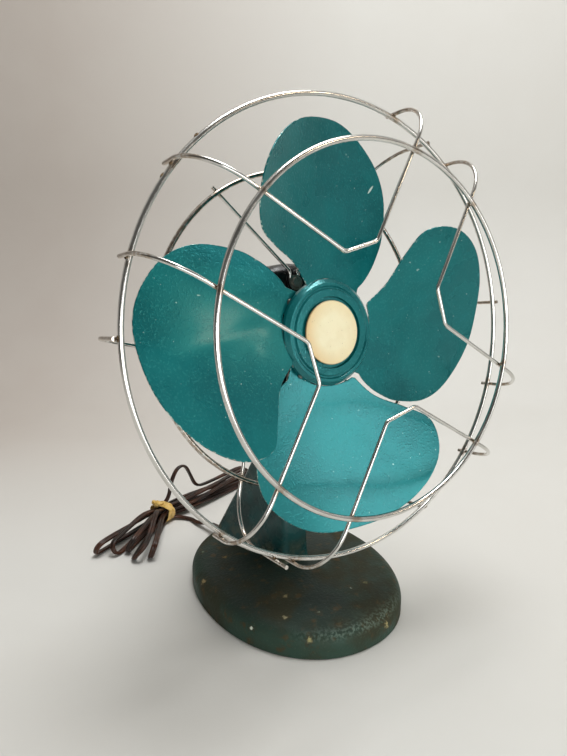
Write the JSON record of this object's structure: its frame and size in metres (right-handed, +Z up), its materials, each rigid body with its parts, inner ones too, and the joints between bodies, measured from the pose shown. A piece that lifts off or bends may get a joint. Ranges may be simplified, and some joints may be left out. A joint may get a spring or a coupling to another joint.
{
  "type": "desk fan",
  "caption": "Desk fan with a wire guard round curved blades, a tilting motor head on a cast neck, an oval base with a toggle switch and a folded, tied lead.",
  "frame": {"origin": "on the table, under the middle of the oval base", "axes": "+Z up, -Y the way the fan faces, +X on the right of someone facing the fan"},
  "size_m": [0.3388, 0.3732, 0.4058],
  "materials": {
    "base_paint": "worn dark green enamel",
    "neck_paint": "dark teal enamel",
    "blade_paint": "teal enamel",
    "motor_paint": "black enamel",
    "chrome_wire": "tarnished plating",
    "cream": "aged cream",
    "steel": "machined",
    "core_iron": "laminated",
    "copper": "varnished winding",
    "bronze": "bearing bronze",
    "alloy": "cast",
    "felt": "felt",
    "lead_rubber": "brown",
    "tie_cloth": "yellowed band",
    "plug_plastic": "brown",
    "brass": "plain"
  },
  "bodies": {
    "base": {"base_shell": "base_paint", "bottom_plate": "steel", "felt_pad": "felt", "plate_screws": "steel", "neck": "neck_paint", "neck_bolts": "steel", "tilt_bolt": "steel", "switch_body": "plug_plastic", "switch_nut": "brass", "cord_relief": "lead_rubber", "cord": "lead_rubber", "cord_hank": "lead_rubber", "cord_tail": "lead_rubber", "hank_tie": "tie_cloth", "plug_body": "plug_plastic", "plug_pins": "brass"},
    "head": {"motor_front_cover": "motor_paint", "motor_rear_cover": "motor_paint", "tilt_lug": "motor_paint", "stator_core": "core_iron", "field_coils": "copper", "front_bearing": "bronze", "rear_bearing": "bronze", "housing_screws": "steel", "guard_main_ring": "chrome_wire", "guard_front_ring": "chrome_wire", "guard_rear_ring": "chrome_wire", "front_loop_1": "chrome_wire", "front_loop_2": "chrome_wire", "front_loop_3": "chrome_wire", "front_loop_4": "chrome_wire", "rear_strut_1": "chrome_wire", "rear_strut_2": "chrome_wire", "rear_strut_3": "chrome_wire", "guard_washers": "steel", "guard_screws": "steel"},
    "rotor": {"shaft": "steel", "rotor_core": "core_iron", "rotor_rings": "alloy", "thrust_collars": "steel", "blade_spider": "steel", "blade_1": "blade_paint", "blade_2": "blade_paint", "blade_3": "blade_paint", "blade_4": "blade_paint", "blade_rivets": "steel", "hub_cover": "blade_paint", "hub_disc": "cream", "hub_screw": "steel"},
    "wing_nut": {"tilt_nut": "steel"},
    "switch": {"switch_lever": "brass"}
  },
  "joints": [
    {"name": "head_tilt", "type": "hinge", "parent": "base", "child": "head", "pos_m": [0, 0.0237, 0.16164], "axis": [1, 0, 0], "range_deg": [-20, 7.6]},
    {"name": "blade_spin", "type": "hinge", "parent": "head", "child": "rotor", "pos_m": [0, -0.0666, 0.2404], "axis": [0, 0.9911, -0.1335], "continuous": true},
    {"name": "wing_nut_turn", "type": "hinge", "parent": "base", "child": "wing_nut", "pos_m": [0, 0.0237, 0.16164], "axis": [1, 0, 0], "range_deg": [0, 360]},
    {"name": "switch_toggle", "type": "hinge", "parent": "base", "child": "switch", "pos_m": [0.02524, 0.09923, 0.009], "axis": [0.9438, -0.3305, 0], "range_deg": [-14, 14]}
  ]
}
